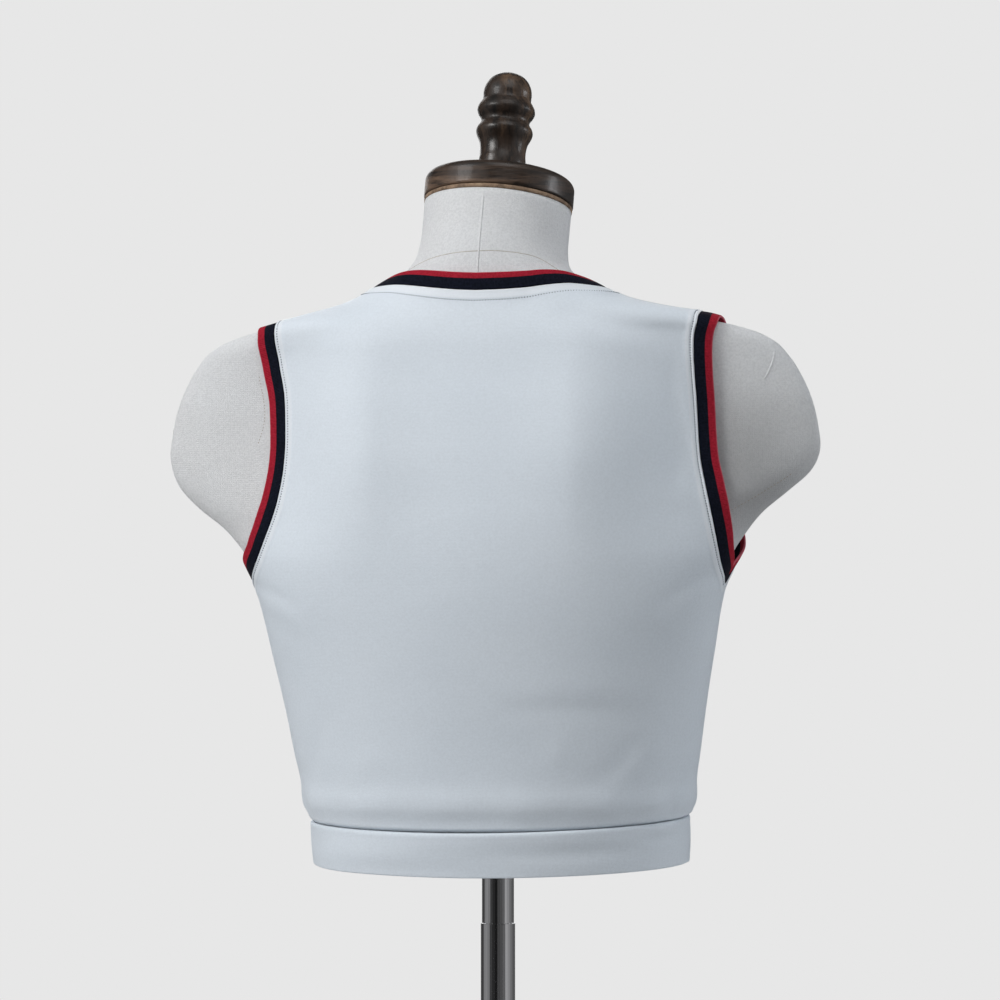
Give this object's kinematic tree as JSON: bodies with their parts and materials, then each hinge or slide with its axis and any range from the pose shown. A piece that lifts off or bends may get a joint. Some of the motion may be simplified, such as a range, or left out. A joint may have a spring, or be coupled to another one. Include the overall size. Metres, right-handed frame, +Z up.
{
  "type": "crop tank top on a dress form",
  "caption": "Cropped sleeveless knit top with rib neck and armhole trims and a wide hem band, on a limbless dress form with a neck finial and a short round stand.",
  "frame": {"origin": "centre of the base plate's underside, on the pole's axis", "axes": "+Z up, the garment's front faces -Y, and +X is towards the wearer's left"},
  "size_m": [0.4554, 0.3, 0.7993],
  "materials": {
    "knit": "smooth white double knit",
    "rib": "navy rib with a red outer stripe",
    "canvas": "fine off-white canvas",
    "walnut": "dark stain, satin",
    "pale_wood": "raw edge",
    "chrome": "polished",
    "steel": "satin"
  },
  "bodies": {
    "root": {"back_panel": "knit", "front_panel": "knit", "hem_band_back": "knit", "hem_band_front": "knit", "neck_band": "rib", "armhole_band_left": "rib", "armhole_band_right": "rib", "form_torso": "canvas", "neck_rim": "pale_wood", "neck_cap": "walnut", "finial": "walnut", "pole": "chrome", "pole_sleeve": "chrome", "base_socket": "chrome", "pole_flange": "steel", "base_plate": "steel"}
  },
  "joints": []
}
